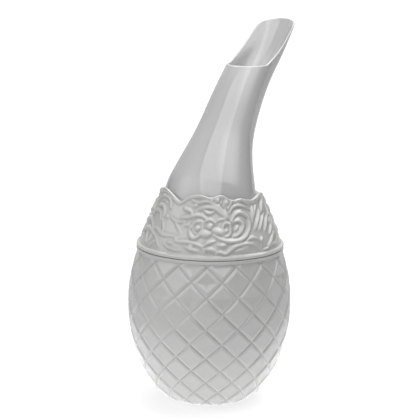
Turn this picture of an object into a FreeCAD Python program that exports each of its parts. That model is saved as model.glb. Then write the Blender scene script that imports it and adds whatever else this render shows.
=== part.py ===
import FreeCAD, Part
import math
import os

# Hand-held ear-rinse vessel: an egg-shaped reservoir, a screw-on embossed collar
# and a bent neck that swivels in the collar and ends in an open scoop.
# Millimetres, +Z up, origin on the standing plane under the reservoir's axis.
# The neck bends towards +X; the whole vessel is symmetric about the XZ plane.

V = FreeCAD.Vector
UP = V(0, 0, 1)

# Reservoir
EGG_OUTLINE = ((13.1, 0.5), (19.1, 2.3), (23.7, 6.8), (28.8, 15.8),
               (32.9, 28.8), (34.2, 42.8), (33.2, 53.8), (30.4, 64.6))
CERAMIC_WALL = 3.0
SEAM_Z = 66.2                 # joint line between reservoir and collar
BEAD_R = 30.8                 # outer radius of both bead rims
BEAD_H = 1.4
MOUTH_BORE_R = 15.2
MOUTH_OUTER_R = 18.0
MOUTH_TOP_Z = 73.5

# Foot
FOOT_R = 12.0
FOOT_THICK = 2.2

# Screw joint between the neck sleeve and the collar insert
THREAD_LEAD = 3.0
THREAD_TURNS = 1.25
SLEEVE_ROOT_R = 20.0
THREAD_HEIGHT = 1.3
THREAD_GAP = 0.3              # radial gap from a crest to the facing wall
INSERT_WALL_R = SLEEVE_ROOT_R + THREAD_HEIGHT + THREAD_GAP
INSERT_OUTER_R = 24.2
THREAD_START_Z = 69.3

# Stack above the mouth: gasket, flange of the tail, slip washer, insert's shoulder
GASKET_Z = 74.5
GASKET_H = 1.2
FLANGE_R = 22.4
FLANGE_H = 1.8
WASHER_H = 0.5
STACK_GAP = 0.05
SHOULDER_H = 1.8
FLANGE_TOP_Z = GASKET_Z + STACK_GAP + GASKET_H + STACK_GAP + FLANGE_H
SHOULDER_Z = FLANGE_TOP_Z + STACK_GAP + WASHER_H + STACK_GAP

# Collar
COLLAR_OUTLINE = ((30.2, 68.4), (29.2, 72.0), (26.8, 77.2),
                  (24.7, 82.0), (22.4, 87.0), (20.5, 92.2))
COLLAR_WALL = 1.2
COLLAR_FOOT_Z = SEAM_Z + 0.3
SCALLOPS = ((30.0, 3.5, 1.7), (57.0, 6.0, 3.0), (82.0, 6.0, 3.8),
            (112.0, 12.0, 2.7), (175.0, 5.5, 4.0))          # degrees, radius, depth

# Neck: a straight root, two arcs that lean it over, one arc that lifts the scoop
NECK_BASE_Z = FLANGE_TOP_Z
BEND_START_Z = 84.0
BEND_ARCS = ((20.0, 21.0), (125.0, 28.9), (-70.6, 22.0))      # radius, turn in degrees
NECK_ROOT_R = 19.4
NECK_RADII = ((NECK_BASE_Z - BEND_START_Z, NECK_ROOT_R), (2.0, NECK_ROOT_R), (6.0, 18.8), (12.0, 16.9),
              (20.0, 14.6), (28.0, 12.6), (41.0, 11.1), (61.0, 9.9), (81.0, 9.7), (97.2, 10.5))
NECK_STATIONS = 28
NECK_WALL_ROOT = 2.4
NECK_WALL_TIP = 1.7
NECK_BORE_R = NECK_ROOT_R - NECK_WALL_ROOT
TAIL_BORE_R = 13.2
TAIL_NOSE_R = 14.7
TAIL_SPIGOT_TOP_Z = BEND_START_Z

# Scoop, in the plane of the bend: a level lip, then a shallow hollow up to the tip
LIP_Z = 139.5
LIP_CORNER = (30.0, LIP_Z)
SCOOP_MID = (44.1, 146.8)
SCOOP_END = (62.0, 162.0)
TIP_LENGTH = 96.0             # along the axis from the start of the bend
TIP_HALF_WIDTH = 7.8
TIP_SAG = 3.4                 # how far the tip's end is rounded back at its corners

# Snap ring that keeps the neck in the collar
RING_Z = SHOULDER_Z + SHOULDER_H + 0.3
RING_H = 1.2
RING_GROOVE_DEPTH = 0.7
RING_OUTER_R = 20.9


def save(shape, node):
    shape.exportStep("parts/" + node + ".step")


def tube(outer_r, inner_r, low_z, high_z):
    """A plain round sleeve on the Z axis."""
    outside = Part.makeCylinder(outer_r, high_z - low_z, V(0, 0, low_z))
    inside = Part.makeCylinder(inner_r, high_z - low_z, V(0, 0, low_z))
    return outside.cut(inside)


def curve_edge(points):
    """A smooth edge through (radius, height) points in the XZ plane."""
    curve = Part.BSplineCurve()
    curve.interpolate([V(r, 0, z) for r, z in points])
    return curve.toShape()


def line_edges(points):
    """Straight edges joining (radius, height) points in the XZ plane."""
    pairs = zip(points[:-1], points[1:])
    return [Part.makeLine(V(a[0], 0, a[1]), V(b[0], 0, b[1])) for a, b in pairs]


def revolve(edges):
    """Turn a closed outline in the XZ plane once round the Z axis."""
    outline = Part.Wire(Part.__sortEdges__(edges))
    return Part.Face(outline).revolve(V(0, 0, 0), UP, 360)


def bead_ring(low_z, core_r):
    """A thin half-round bead standing on a core radius, round the Z axis."""
    mid_z = low_z + BEAD_H / 2
    arc = Part.Arc(V(BEAD_R - 0.5, 0, low_z), V(BEAD_R, 0, mid_z), V(BEAD_R - 0.5, 0, low_z + BEAD_H))
    back = line_edges(((BEAD_R - 0.5, low_z + BEAD_H), (core_r, low_z + BEAD_H),
                       (core_r, low_z), (BEAD_R - 0.5, low_z)))
    return revolve([arc.toShape()] + back)


def thread_ridge(wall_r, tip_r, start_z):
    """A trapezoid ridge wound right-handed from a wall towards a tip radius."""
    inward = 1 if tip_r < wall_r else -1
    root_r = wall_r + 0.3 * inward
    half_root = 0.24 * THREAD_LEAD
    half_tip = 0.13 * THREAD_LEAD
    corners = [V(root_r, 0, start_z - half_root), V(tip_r, 0, start_z - half_tip),
               V(tip_r, 0, start_z + half_tip), V(root_r, 0, start_z + half_root)]
    profile = Part.Wire(Part.makePolygon(corners + corners[:1]))
    helix = Part.makeHelix(THREAD_LEAD, THREAD_LEAD * THREAD_TURNS, wall_r)
    helix.translate(V(0, 0, start_z))
    return Part.Wire(helix.Edges).makePipeShell([profile], True, True)


def reservoir_shell():
    """Glazed egg with a bead rim, a level ledge, a domed shoulder and a short mouth."""
    ledge_z = SEAM_Z - 0.1
    ledge_in_r = 26.4
    outer = [curve_edge(EGG_OUTLINE)]
    outer += line_edges((EGG_OUTLINE[-1], (30.6, ledge_z), (ledge_in_r, ledge_z),
                         (MOUTH_OUTER_R, ledge_z + 2.2), (MOUTH_OUTER_R, MOUTH_TOP_Z),
                         (0, MOUTH_TOP_Z), (0, EGG_OUTLINE[0][1]), EGG_OUTLINE[0]))
    body = revolve(outer)
    body = body.fuse(bead_ring(ledge_z - BEAD_H, 29.0))
    floor_z = EGG_OUTLINE[0][1] + CERAMIC_WALL + 2.0
    inner_points = [(r - CERAMIC_WALL, z) for r, z in EGG_OUTLINE[3:-1]]
    inner_points = [(13.0, floor_z), (20.8, floor_z + 2.4)] + inner_points + [(28.0, 60.4)]
    inner = [curve_edge(inner_points)]
    inner += line_edges((inner_points[-1], (24.0, 63.2), (MOUTH_BORE_R, 65.4), (MOUTH_BORE_R, MOUTH_TOP_Z),
                         (0, MOUTH_TOP_Z), (0, floor_z), inner_points[0]))
    body = body.cut(revolve(inner))
    recess = Part.makeCylinder(FOOT_R + 0.1, FOOT_THICK, V(0, 0, 0))
    return body.cut(recess).removeSplitter()


def foot_pad():
    """Soft disc bonded in the base; the vessel stands on it."""
    pad = Part.makeCylinder(FOOT_R, FOOT_THICK)
    rims = [edge for edge in pad.Edges if abs(edge.BoundBox.ZMax) < 0.01]
    return pad.makeFillet(0.4, rims)


def neck_sleeve():
    """Moulded sleeve bonded over the mouth, with a lip on its end and an outside thread."""
    lip_h = GASKET_Z - MOUTH_TOP_Z
    sleeve = tube(SLEEVE_ROOT_R, MOUTH_OUTER_R, SEAM_Z + 2.3, MOUTH_TOP_Z)
    lip = tube(SLEEVE_ROOT_R, MOUTH_BORE_R, MOUTH_TOP_Z, MOUTH_TOP_Z + lip_h)
    ridge = thread_ridge(SLEEVE_ROOT_R, SLEEVE_ROOT_R + THREAD_HEIGHT, THREAD_START_Z)
    return sleeve.fuse(lip).removeSplitter().fuse(ridge)


def mouth_gasket():
    """Soft flat ring that seals the tail's flange on the mouth."""
    low_z = GASKET_Z + STACK_GAP
    return tube(SLEEVE_ROOT_R - 0.3, MOUTH_BORE_R + 0.2, low_z, low_z + GASKET_H)


def slip_washer():
    """Thin slippery ring between the tail's flange and the collar's shoulder."""
    low_z = FLANGE_TOP_Z + STACK_GAP
    return tube(FLANGE_R - 0.8, 19.9, low_z, low_z + WASHER_H)


def collar_shell():
    """Glazed cone with a bead rim below, a socket inside and a scalloped free edge."""
    top_z = COLLAR_OUTLINE[-1][1]
    skirt_r = 27.4
    socket_low_z = COLLAR_FOOT_Z + 3.0
    socket_top_z = SHOULDER_Z + SHOULDER_H
    inner_points = [(23.9, socket_top_z)] + [(r - COLLAR_WALL, z) for r, z in COLLAR_OUTLINE[3:]]
    edges = [curve_edge(COLLAR_OUTLINE), curve_edge(inner_points)]
    edges += line_edges((COLLAR_OUTLINE[-1], inner_points[-1]))
    edges += line_edges((inner_points[0], (INSERT_OUTER_R, socket_top_z), (INSERT_OUTER_R, socket_low_z),
                         (skirt_r, COLLAR_FOOT_Z), (30.4, COLLAR_FOOT_Z), COLLAR_OUTLINE[0]))
    shell = revolve(edges).fuse(bead_ring(COLLAR_FOOT_Z, 29.0))
    for half_turn in (0, 180):
        for degrees, radius, depth in SCALLOPS:
            bite = Part.makeCylinder(radius, 14, V(14, 0, top_z + radius - depth), V(1, 0, 0))
            bite.rotate(V(0, 0, 0), UP, degrees + half_turn)
            shell = shell.cut(bite)
    return shell.removeSplitter()


def collar_insert():
    """Moulded ring bonded in the collar: inside thread and a shoulder that pulls the neck down."""
    socket_low_z = COLLAR_FOOT_Z + 3.0
    wall = tube(INSERT_OUTER_R, INSERT_WALL_R, socket_low_z, SHOULDER_Z)
    shoulder = tube(INSERT_OUTER_R, 20.0, SHOULDER_Z, SHOULDER_Z + SHOULDER_H)
    pocket_z = FLANGE_TOP_Z - FLANGE_H - 0.5
    pocket = Part.makeCylinder(FLANGE_R + 0.2, SHOULDER_Z - pocket_z, V(0, 0, pocket_z))
    ring = wall.cut(pocket).fuse(shoulder).removeSplitter()
    ridge = thread_ridge(INSERT_WALL_R, INSERT_WALL_R - THREAD_HEIGHT, THREAD_START_Z + THREAD_LEAD / 2)
    return ring.fuse(ridge)


def neck_place(length):
    """Centre and direction of the neck's axis at a length along it from the start of the bend."""
    position = V(0, 0, BEND_START_Z + min(length, 0))
    lean = 0.0
    left = length
    for radius, turn in BEND_ARCS:
        if left <= 0:
            break
        arc = abs(radius) * math.radians(turn)
        step = min(left, arc)
        new_lean = lean + step / radius
        position += V(radius * (math.cos(lean) - math.cos(new_lean)), 0,
                      radius * (math.sin(new_lean) - math.sin(lean)))
        lean = new_lean
        left -= step
    return position, V(math.sin(lean), 0, math.cos(lean))


def taper_radius(taper, length):
    """Radius of the taper curve at a length, found by halving its parameter range."""
    low, high = taper.FirstParameter, taper.LastParameter
    for _ in range(40):
        middle = (low + high) / 2
        if taper.value(middle).x < length:
            low = middle
        else:
            high = middle
    return taper.value(low).y


def neck_loft(shrink_root, shrink_tip):
    """A smooth bent taper through round sections, each drawn in by a wall that thins to the tip."""
    taper = Part.BSplineCurve()
    taper.interpolate([V(length, radius, 0) for length, radius in NECK_RADII])
    base_length = NECK_RADII[0][0]
    tip_length = NECK_RADII[-1][0]
    sections = []
    for station in range(NECK_STATIONS + 1):
        length = base_length + (tip_length - base_length) * station / NECK_STATIONS
        radius = taper_radius(taper, length)
        centre, direction = neck_place(length)
        wall = shrink_root + (shrink_tip - shrink_root) * max(length, 0) / tip_length
        sections.append(Part.Wire(Part.Circle(centre, direction, radius - wall).toShape()))
    return Part.makeLoft(sections, True, False)


def scoop_cutter():
    """What is taken off the neck's end: above the lip, above the scoop and past the tip."""
    arc = Part.Arc(V(LIP_CORNER[0], -40, LIP_CORNER[1]), V(SCOOP_MID[0], -40, SCOOP_MID[1]),
                   V(SCOOP_END[0], -40, SCOOP_END[1])).toShape()
    corners = [V(SCOOP_END[0], -40, SCOOP_END[1]), V(SCOOP_END[0], -40, 190),
               V(-30, -40, 190), V(-30, -40, LIP_Z), V(LIP_CORNER[0], -40, LIP_CORNER[1])]
    edges = [arc] + [Part.makeLine(a, b) for a, b in zip(corners[:-1], corners[1:])]
    outline = Part.Wire(Part.__sortEdges__(edges))
    return Part.Face(outline).extrude(V(0, 80, 0))


def tip_cutter():
    """Rounds the tip's end: everything past a bowed line, cut square to the scoop."""
    centre, direction = neck_place(TIP_LENGTH)
    side = V(0, 1, 0)
    depth = direction.cross(side)
    middle = centre - depth * 20
    left = middle - side * TIP_HALF_WIDTH - direction * TIP_SAG
    right = middle + side * TIP_HALF_WIDTH - direction * TIP_SAG
    far_left = middle - side * 20 - direction * 2.6 * TIP_SAG
    far_right = middle + side * 20 - direction * 2.6 * TIP_SAG
    corners = [right, far_right, far_right + direction * 40, far_left + direction * 40, far_left, left]
    edges = [Part.makeLine(a, b) for a, b in zip(corners[:-1], corners[1:])]
    edges.append(Part.Arc(left, middle, right).toShape())
    outline = Part.Wire(Part.__sortEdges__(edges))
    return Part.Face(outline).extrude(depth * 40)


def spout_shell():
    """Glazed neck: hollow bent taper, level lip, open scoop with a rounded tip, ring groove."""
    outside = neck_loft(0.0, 0.0)
    inside = neck_loft(NECK_WALL_ROOT, NECK_WALL_TIP)
    bore = Part.makeCylinder(NECK_BORE_R, TAIL_SPIGOT_TOP_Z - NECK_BASE_Z, V(0, 0, NECK_BASE_Z))
    neck = outside.cut(inside).cut(bore)
    neck = neck.cut(scoop_cutter()).cut(tip_cutter())
    groove = tube(30.0, NECK_ROOT_R - RING_GROOVE_DEPTH, RING_Z, RING_Z + RING_H)
    return neck.cut(groove)


def spout_tail():
    """Moulded bush bonded in the neck: spigot, turning flange and a nose down into the mouth."""
    flange_z = FLANGE_TOP_Z - FLANGE_H
    spigot = tube(NECK_BORE_R, TAIL_BORE_R, FLANGE_TOP_Z, TAIL_SPIGOT_TOP_Z)
    flange = tube(FLANGE_R, TAIL_BORE_R, flange_z, FLANGE_TOP_Z)
    nose = tube(TAIL_NOSE_R, TAIL_BORE_R, flange_z - 5.0, flange_z)
    return spigot.fuse(flange).fuse(nose).removeSplitter()


def retaining_ring():
    """Split snap ring in the neck's groove, above the collar insert's shoulder."""
    seat_r = NECK_ROOT_R - RING_GROOVE_DEPTH
    ring = tube(RING_OUTER_R, seat_r, RING_Z, RING_Z + RING_H)
    split = Part.makeBox(10, 2.4, 4, V(-25, -1.2, RING_Z - 1))
    return ring.cut(split)


os.makedirs("parts", exist_ok=True)
save(reservoir_shell(), "reservoir_shell")
save(foot_pad(), "foot_pad")
save(neck_sleeve(), "neck_sleeve")
save(mouth_gasket(), "mouth_gasket")
save(slip_washer(), "slip_washer")
save(collar_shell(), "collar_shell")
save(collar_insert(), "collar_insert")
save(spout_shell(), "spout_shell")
save(spout_tail(), "spout_tail")
save(retaining_ring(), "retaining_ring")
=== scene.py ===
import math

import bpy
import numpy as np
from mathutils import Matrix, Vector


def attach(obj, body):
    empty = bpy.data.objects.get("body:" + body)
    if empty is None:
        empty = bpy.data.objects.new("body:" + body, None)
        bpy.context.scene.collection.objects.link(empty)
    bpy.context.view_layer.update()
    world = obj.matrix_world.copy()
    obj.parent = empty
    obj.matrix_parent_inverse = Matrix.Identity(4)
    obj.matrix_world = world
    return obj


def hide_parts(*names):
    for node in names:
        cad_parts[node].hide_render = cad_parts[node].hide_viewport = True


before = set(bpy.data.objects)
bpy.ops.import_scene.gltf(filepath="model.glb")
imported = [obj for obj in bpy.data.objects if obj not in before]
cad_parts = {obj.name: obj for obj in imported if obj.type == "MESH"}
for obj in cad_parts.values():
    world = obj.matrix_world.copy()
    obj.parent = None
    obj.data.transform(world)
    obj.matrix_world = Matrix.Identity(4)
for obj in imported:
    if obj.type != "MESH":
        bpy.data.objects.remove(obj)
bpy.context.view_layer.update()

# ---------------------------------------------------------------------------
# Reservoir: the egg-shaped lower half, slip-cast white stoneware with a quilted
# diamond relief, glazed all over and fired. A half-round bead closes its top,
# and a short plain mouth stands inside for the moulded neck sleeve.
# ---------------------------------------------------------------------------

MM = 0.001
# Outlines are (radius, height) points in millimetres, from the axis and the table.
EGG_OUTLINE = ((13.1, 0.5), (19.1, 2.3), (23.7, 6.8), (28.8, 15.8),
               (32.9, 28.8), (34.2, 42.8), (33.2, 53.8), (30.4, 64.6))
CAVITY_OUTLINE = ((13.0, 5.5), (20.8, 7.9), (25.8, 15.8), (29.9, 28.8),
                  (31.2, 42.8), (30.2, 53.8), (28.0, 60.4))
CAVITY_FLOOR = ((6.0, 5.5), (0.6, 5.5))
BASE_OUTLINE = ((0.6, 2.2), (12.1, 2.2), (12.1, 0.7), (12.4, 0.5), (13.0, 0.5))
MOUTH_OUTLINE = ((29.6, 66.17), (26.4, 66.1), (18.0, 68.3), (18.0, 73.2), (17.7, 73.5),
                 (15.5, 73.5), (15.2, 73.2), (15.2, 65.4), (24.0, 63.2), (28.0, 60.6))
FRONT_DEG = 210.0               # the side with the flower, measured from +X
DIAMONDS_ROUND = 16
QUILT_STEP = math.pi / DIAMONDS_ROUND
QUILT_FIRST_DEG = FRONT_DEG - 2.0
QUILT_TOP_Z = 63.5              # a row of groove crossings lies at this height
QUILT_SHAPE = 0.96              # height of a half diamond over its half width
QUILT_LOW_Z, QUILT_LOW_RUN = 1.2, 2.5        # the grooves start here, and are full this much higher
QUILT_HIGH_Z, QUILT_HIGH_RUN = 65.2, 1.2     # they end here, and are full this much lower
CELLS_PER_STEP = 14             # mesh columns and rows in half a diamond
LINE_DEPTH, LINE_HALF = 0.12, 0.34           # the fine line along the bottom of each groove
BEVEL_DEPTH, BEVEL_SHARE, BEVEL_CURVE = 0.52, 0.30, 1.15     # its sides, as a share of the facet
FACET_FLATTENING = 0.26         # how far a facet's middle lies under the egg's curve
# Where the glaze lies thicker and fills the grooves: degrees from the front, height, reach, share
GLAZE_POOLS = ((-38, 40, 12, 0.70), (-52, 56, 8, 0.50), (14, 24, 9, 0.30), (61, 33, 9, 0.40),
               (118, 45, 11, 0.55), (176, 28, 10, 0.50), (228, 50, 11, 0.60), (270, 22, 9, 0.45))
BEAD_R, BEAD_HALF_WIDE, BEAD_HALF_HIGH = 30.8, 0.75, 0.72
BEAD_SQUARENESS, BEAD_ROWS = 0.55, 9         # squareness 1 is a plain half round, and less is squarer
LOWER_BEAD_Z = 65.45
SHARP_FOLD_DEG = 50.0           # faces that meet at more than this keep a crisp edge


def smooth_line(points, count):
    """Points at even steps along a natural cubic spline through the given points."""
    p = np.array(points, float)
    knots = np.concatenate(([0.0], np.cumsum(np.hypot(*np.diff(p, axis=0).T))))
    n = len(p)
    gaps = np.diff(knots)
    system = np.eye(n)
    target = np.zeros_like(p)
    for i in range(1, n - 1):
        system[i, i - 1:i + 2] = gaps[i - 1], 2 * (gaps[i - 1] + gaps[i]), gaps[i]
        target[i] = 6 * ((p[i + 1] - p[i]) / gaps[i] - (p[i] - p[i - 1]) / gaps[i - 1])
    bend = np.linalg.solve(system, target)

    def at(t):
        """Points on the spline at distances along its straight runs."""
        k = np.clip(np.searchsorted(knots, t, side="right") - 1, 0, n - 2)
        h = gaps[k][:, None]
        a = ((knots[k + 1] - t)[:, None]) / h
        b = 1 - a
        return (a * p[k] + b * p[k + 1]
                + ((a ** 3 - a) * bend[k] + (b ** 3 - b) * bend[k + 1]) * h * h / 6)

    fine = at(np.linspace(0, knots[-1], 40 * n))
    along = np.concatenate(([0.0], np.cumsum(np.linalg.norm(np.diff(fine, axis=0), axis=1))))
    even = np.linspace(0, along[-1], count)
    return np.stack([np.interp(even, along, fine[:, i]) for i in range(p.shape[1])], axis=1)


def even_line(points, step):
    """Straight runs through the points, divided to about the given step."""
    rows = [points[0]]
    for a, b in zip(points[:-1], points[1:]):
        parts = max(1, round(math.dist(a, b) / step))
        rows += [tuple(a[i] + (b[i] - a[i]) * k / parts for i in range(len(a)))
                 for k in range(1, parts + 1)]
    return np.array(rows, float)


def ring_mesh(name, grid, recess=None, close_ends=False, join_ends=False, splits=None):
    """A mesh from rows of points round an axis. Distances are millimetres.

    Where splits is given, each cell is two triangles, along one diagonal or the other.
    """
    rows, cols = grid.shape[:2]
    verts = grid.reshape(-1, 3)
    index = np.arange(rows * cols).reshape(rows, cols)
    last = rows if join_ends else rows - 1
    low = index[:last]
    high = index[(np.arange(last) + 1) % rows]
    corners = [low, np.roll(low, -1, 1), np.roll(high, -1, 1), high]
    if splits is None:
        faces = np.stack(corners, axis=-1).reshape(-1, 4).tolist()
    else:
        one_way = splits[:last, :, None]
        pairs = (((0, 1, 2), (0, 1, 3)), ((0, 2, 3), (1, 2, 3)))
        faces = []
        for first, second in pairs:
            rising = np.stack([corners[k] for k in first], axis=-1)
            falling = np.stack([corners[k] for k in second], axis=-1)
            faces += np.where(one_way, rising, falling).reshape(-1, 3).tolist()
    if close_ends:
        start, end = len(verts), len(verts) + 1
        verts = np.vstack([verts, grid[0].mean(0), grid[-1].mean(0)])
        faces += [(start, int(b), int(a)) for a, b in zip(index[0], np.roll(index[0], -1))]
        faces += [(end, int(a), int(b)) for a, b in zip(index[-1], np.roll(index[-1], -1))]
    mesh = bpy.data.meshes.new(name)
    mesh.from_pydata((verts * MM).tolist(), [], faces)
    mesh.polygons.foreach_set("use_smooth", [True] * len(mesh.polygons))
    mesh.set_sharp_from_angle(angle=math.radians(SHARP_FOLD_DEG))
    # The recess values are stored on the mesh as the mask for painted shade in the glaze.
    if recess is not None:
        values = np.zeros(len(verts), np.float32)
        values[:rows * cols] = recess.reshape(-1)
        mesh.attributes.new("recess", "FLOAT", "POINT").data.foreach_set("value", values)
    mesh.update()
    return mesh


def round_axis(radius, angle, height):
    """Points at radii, angles and heights round the Z axis."""
    return np.stack([radius * np.cos(angle), radius * np.sin(angle), height + 0 * angle], axis=-1)


def turned(profile, columns, first=0.0):
    """Rows of points made by turning (radius, height) points once round the Z axis."""
    angle = first + np.arange(columns) * 2 * math.pi / columns
    return round_axis(profile[:, 0][:, None], angle, profile[:, 1][:, None])


def bead_line(middle, first, final):
    """(radius, height) points over a bead's squared half-round section, between two angles."""
    angle = np.radians(np.linspace(first, final, BEAD_ROWS))
    out = np.sign(np.cos(angle)) * np.abs(np.cos(angle)) ** BEAD_SQUARENESS
    up = np.sign(np.sin(angle)) * np.abs(np.sin(angle)) ** BEAD_SQUARENESS
    return np.stack([BEAD_R + BEAD_HALF_WIDE * (out - 1), middle + BEAD_HALF_HIGH * up], axis=1)


def add_node(tree, kind, settings=(), values=()):
    """A shader node with its settings and unlinked values filled in."""
    made = tree.nodes.new(kind)
    for key, value in dict(settings).items():
        setattr(made, key, value)
    for key, value in dict(values).items():
        made.inputs[key].default_value = value
    return made


def colour_mix(tree, factor, first, second, blend="MIX"):
    """Mixes two colours; each argument is a socket or a plain value."""
    mixer = add_node(tree, "ShaderNodeMix", {"data_type": "RGBA", "blend_type": blend})
    for key, value in ((0, factor), (6, first), (7, second)):
        if isinstance(value, bpy.types.NodeSocket):
            tree.links.new(value, mixer.inputs[key])
        else:
            mixer.inputs[key].default_value = value
    return mixer.outputs[2]


def work_out(tree, operation, *values):
    """A Math node over sockets or plain numbers."""
    made = add_node(tree, "ShaderNodeMath", {"operation": operation})
    for key, value in enumerate(values):
        if isinstance(value, bpy.types.NodeSocket):
            tree.links.new(value, made.inputs[key])
        else:
            made.inputs[key].default_value = value
    return made.outputs[0]


def spread(tree, value, low, high, to_low, to_high):
    """Maps a value from one range to another and holds it there."""
    ranger = add_node(tree, "ShaderNodeMapRange", {"clamp": True},
                      {"From Min": low, "From Max": high, "To Min": to_low, "To Max": to_high})
    tree.links.new(value, ranger.inputs["Value"])
    return ranger.outputs["Result"]


def noise_field(tree, place, scale, detail):
    """Noise over the piece; scale is in ripples per metre."""
    noise = add_node(tree, "ShaderNodeTexNoise", {}, {"Scale": scale, "Detail": detail})
    tree.links.new(place, noise.inputs["Vector"])
    return noise.outputs["Fac"]


def mottled(tree, colour, noise, amount):
    """A colour made lighter and darker over the surface by a noise, up to the amount."""
    shade = spread(tree, noise, 0.3, 0.7, -1.0, 1.0)
    shade = work_out(tree, "MULTIPLY_ADD", shade, amount, 1.0)
    grey = add_node(tree, "ShaderNodeCombineColor")
    for channel in range(3):
        tree.links.new(shade, grey.inputs[channel])
    return colour_mix(tree, 1.0, colour, grey.outputs[0], "MULTIPLY")


def new_group(name, inputs, outputs):
    """A shader node group with named sockets; returns its tree, input node and output node."""
    tree = bpy.data.node_groups.new(name, "ShaderNodeTree")
    kinds = {"colour": "NodeSocketColor", "value": "NodeSocketFloat"}
    for label, kind, start in inputs:
        socket = tree.interface.new_socket(name=label, in_out="INPUT", socket_type=kinds[kind])
        socket.default_value = start
    for label, kind in outputs:
        tree.interface.new_socket(name=label, in_out="OUTPUT", socket_type=kinds[kind])
    return tree, tree.nodes.new("NodeGroupInput"), tree.nodes.new("NodeGroupOutput")


SPECK_COLOUR = (0.30, 0.27, 0.22, 1)
GLAZE_ROUGHNESS, HOLLOW_ROUGHNESS = 0.11, 0.06
SWELL_MM, PEEL_MM = 0.045, 0.006             # height of the glaze's slow waves and of its fine ones


def make_fired_glaze():
    """Glaze colour darkened towards a painted shade colour where the Recess mask marks grooves and hollows,
    with a faint mottle and specks.
    """
    tree, given, result = new_group(
        "fired_glaze",
        (("Glaze Colour", "colour", (0.6, 0.6, 0.6, 1)), ("Shade Colour", "colour", (0.5, 0.5, 0.5, 1)),
         ("Recess", "value", 0.0), ("Mottle", "value", 0.05), ("Speck", "value", 0.3),
         ("Ripple", "value", 1.0), ("Gloss Break", "value", 0.05)),
        (("Colour", "colour"), ("Roughness", "value"), ("Height", "value")))
    place = add_node(tree, "ShaderNodeTexCoord").outputs["Object"]
    cloud = noise_field(tree, place, scale=48.0, detail=4.0)
    swell = noise_field(tree, place, scale=130.0, detail=2.0)
    peel = noise_field(tree, place, scale=650.0, detail=2.0)
    dust = noise_field(tree, place, scale=1900.0, detail=1.0)
    # Painted shade: the Recess mask mixes the glaze colour towards the darker second colour in grooves and
    # hollows.
    shaded = colour_mix(tree, given.outputs["Recess"],
                        given.outputs["Glaze Colour"], given.outputs["Shade Colour"])
    toned = mottled(tree, shaded, cloud, given.outputs["Mottle"])
    speck = spread(tree, dust, 0.70, 0.76, 0.0, 1.0)
    speck = work_out(tree, "MULTIPLY", speck, given.outputs["Speck"])
    toned = colour_mix(tree, speck, toned, SPECK_COLOUR)
    tree.links.new(toned, result.inputs["Colour"])
    rough = work_out(tree, "MULTIPLY_ADD", cloud, given.outputs["Gloss Break"], GLAZE_ROUGHNESS)
    rough = work_out(tree, "MULTIPLY_ADD", given.outputs["Recess"], HOLLOW_ROUGHNESS, rough)
    tree.links.new(rough, result.inputs["Roughness"])
    height = work_out(tree, "MULTIPLY", swell, SWELL_MM)
    height = work_out(tree, "MULTIPLY_ADD", peel, PEEL_MM, height)
    height = work_out(tree, "MULTIPLY", height, given.outputs["Ripple"])
    tree.links.new(height, result.inputs["Height"])
    return tree


fired_glaze = make_fired_glaze()


def grouped_material(name, group, values, bump_mm):
    """A material led by a group's Colour, Roughness and Height; gives also its shader and group node."""
    material = bpy.data.materials.new(name)
    material.use_nodes = True
    tree = material.node_tree
    shader = tree.nodes["Principled BSDF"]
    placed = add_node(tree, "ShaderNodeGroup", {"node_tree": group}, values)
    bump = add_node(tree, "ShaderNodeBump", {}, {"Distance": bump_mm * MM, "Strength": 1.0})
    tree.links.new(placed.outputs["Colour"], shader.inputs["Base Color"])
    tree.links.new(placed.outputs["Roughness"], shader.inputs["Roughness"])
    tree.links.new(placed.outputs["Height"], bump.inputs["Height"])
    tree.links.new(bump.outputs["Normal"], shader.inputs["Normal"])
    return material, shader, placed


def glazed_material(name, colour, shade_colour, mottle, ripple):
    """White stoneware under a clear gloss glaze; the second, darker colour is painted shade, mixed in where
    the mesh's recess mask marks grooves and hollows.
    """
    values = {"Glaze Colour": colour, "Shade Colour": shade_colour, "Mottle": mottle, "Ripple": ripple}
    material, shader, glaze = grouped_material(name, fired_glaze, values, bump_mm=1.0)
    shader.inputs["IOR"].default_value = 1.52
    shader.inputs["Coat Weight"].default_value = 1.0
    shader.inputs["Coat Roughness"].default_value = 0.035
    shader.inputs["Coat IOR"].default_value = 1.5
    tree = material.node_tree
    # The mesh's recess mask, which places the painted shade.
    shade_mask = add_node(tree, "ShaderNodeAttribute", {"attribute_name": "recess"})
    tree.links.new(shade_mask.outputs["Fac"], glaze.inputs["Recess"])
    return material


def place_piece(name, mesh, material, body, slot_name, *nodes):
    """Puts a finished mesh in the scene, in place of its plain nodes, to move with a body."""
    piece = bpy.data.objects.new(name, mesh)
    bpy.context.scene.collection.objects.link(piece)
    mesh.materials.append(material)
    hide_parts(*nodes)
    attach(piece, body)


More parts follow.
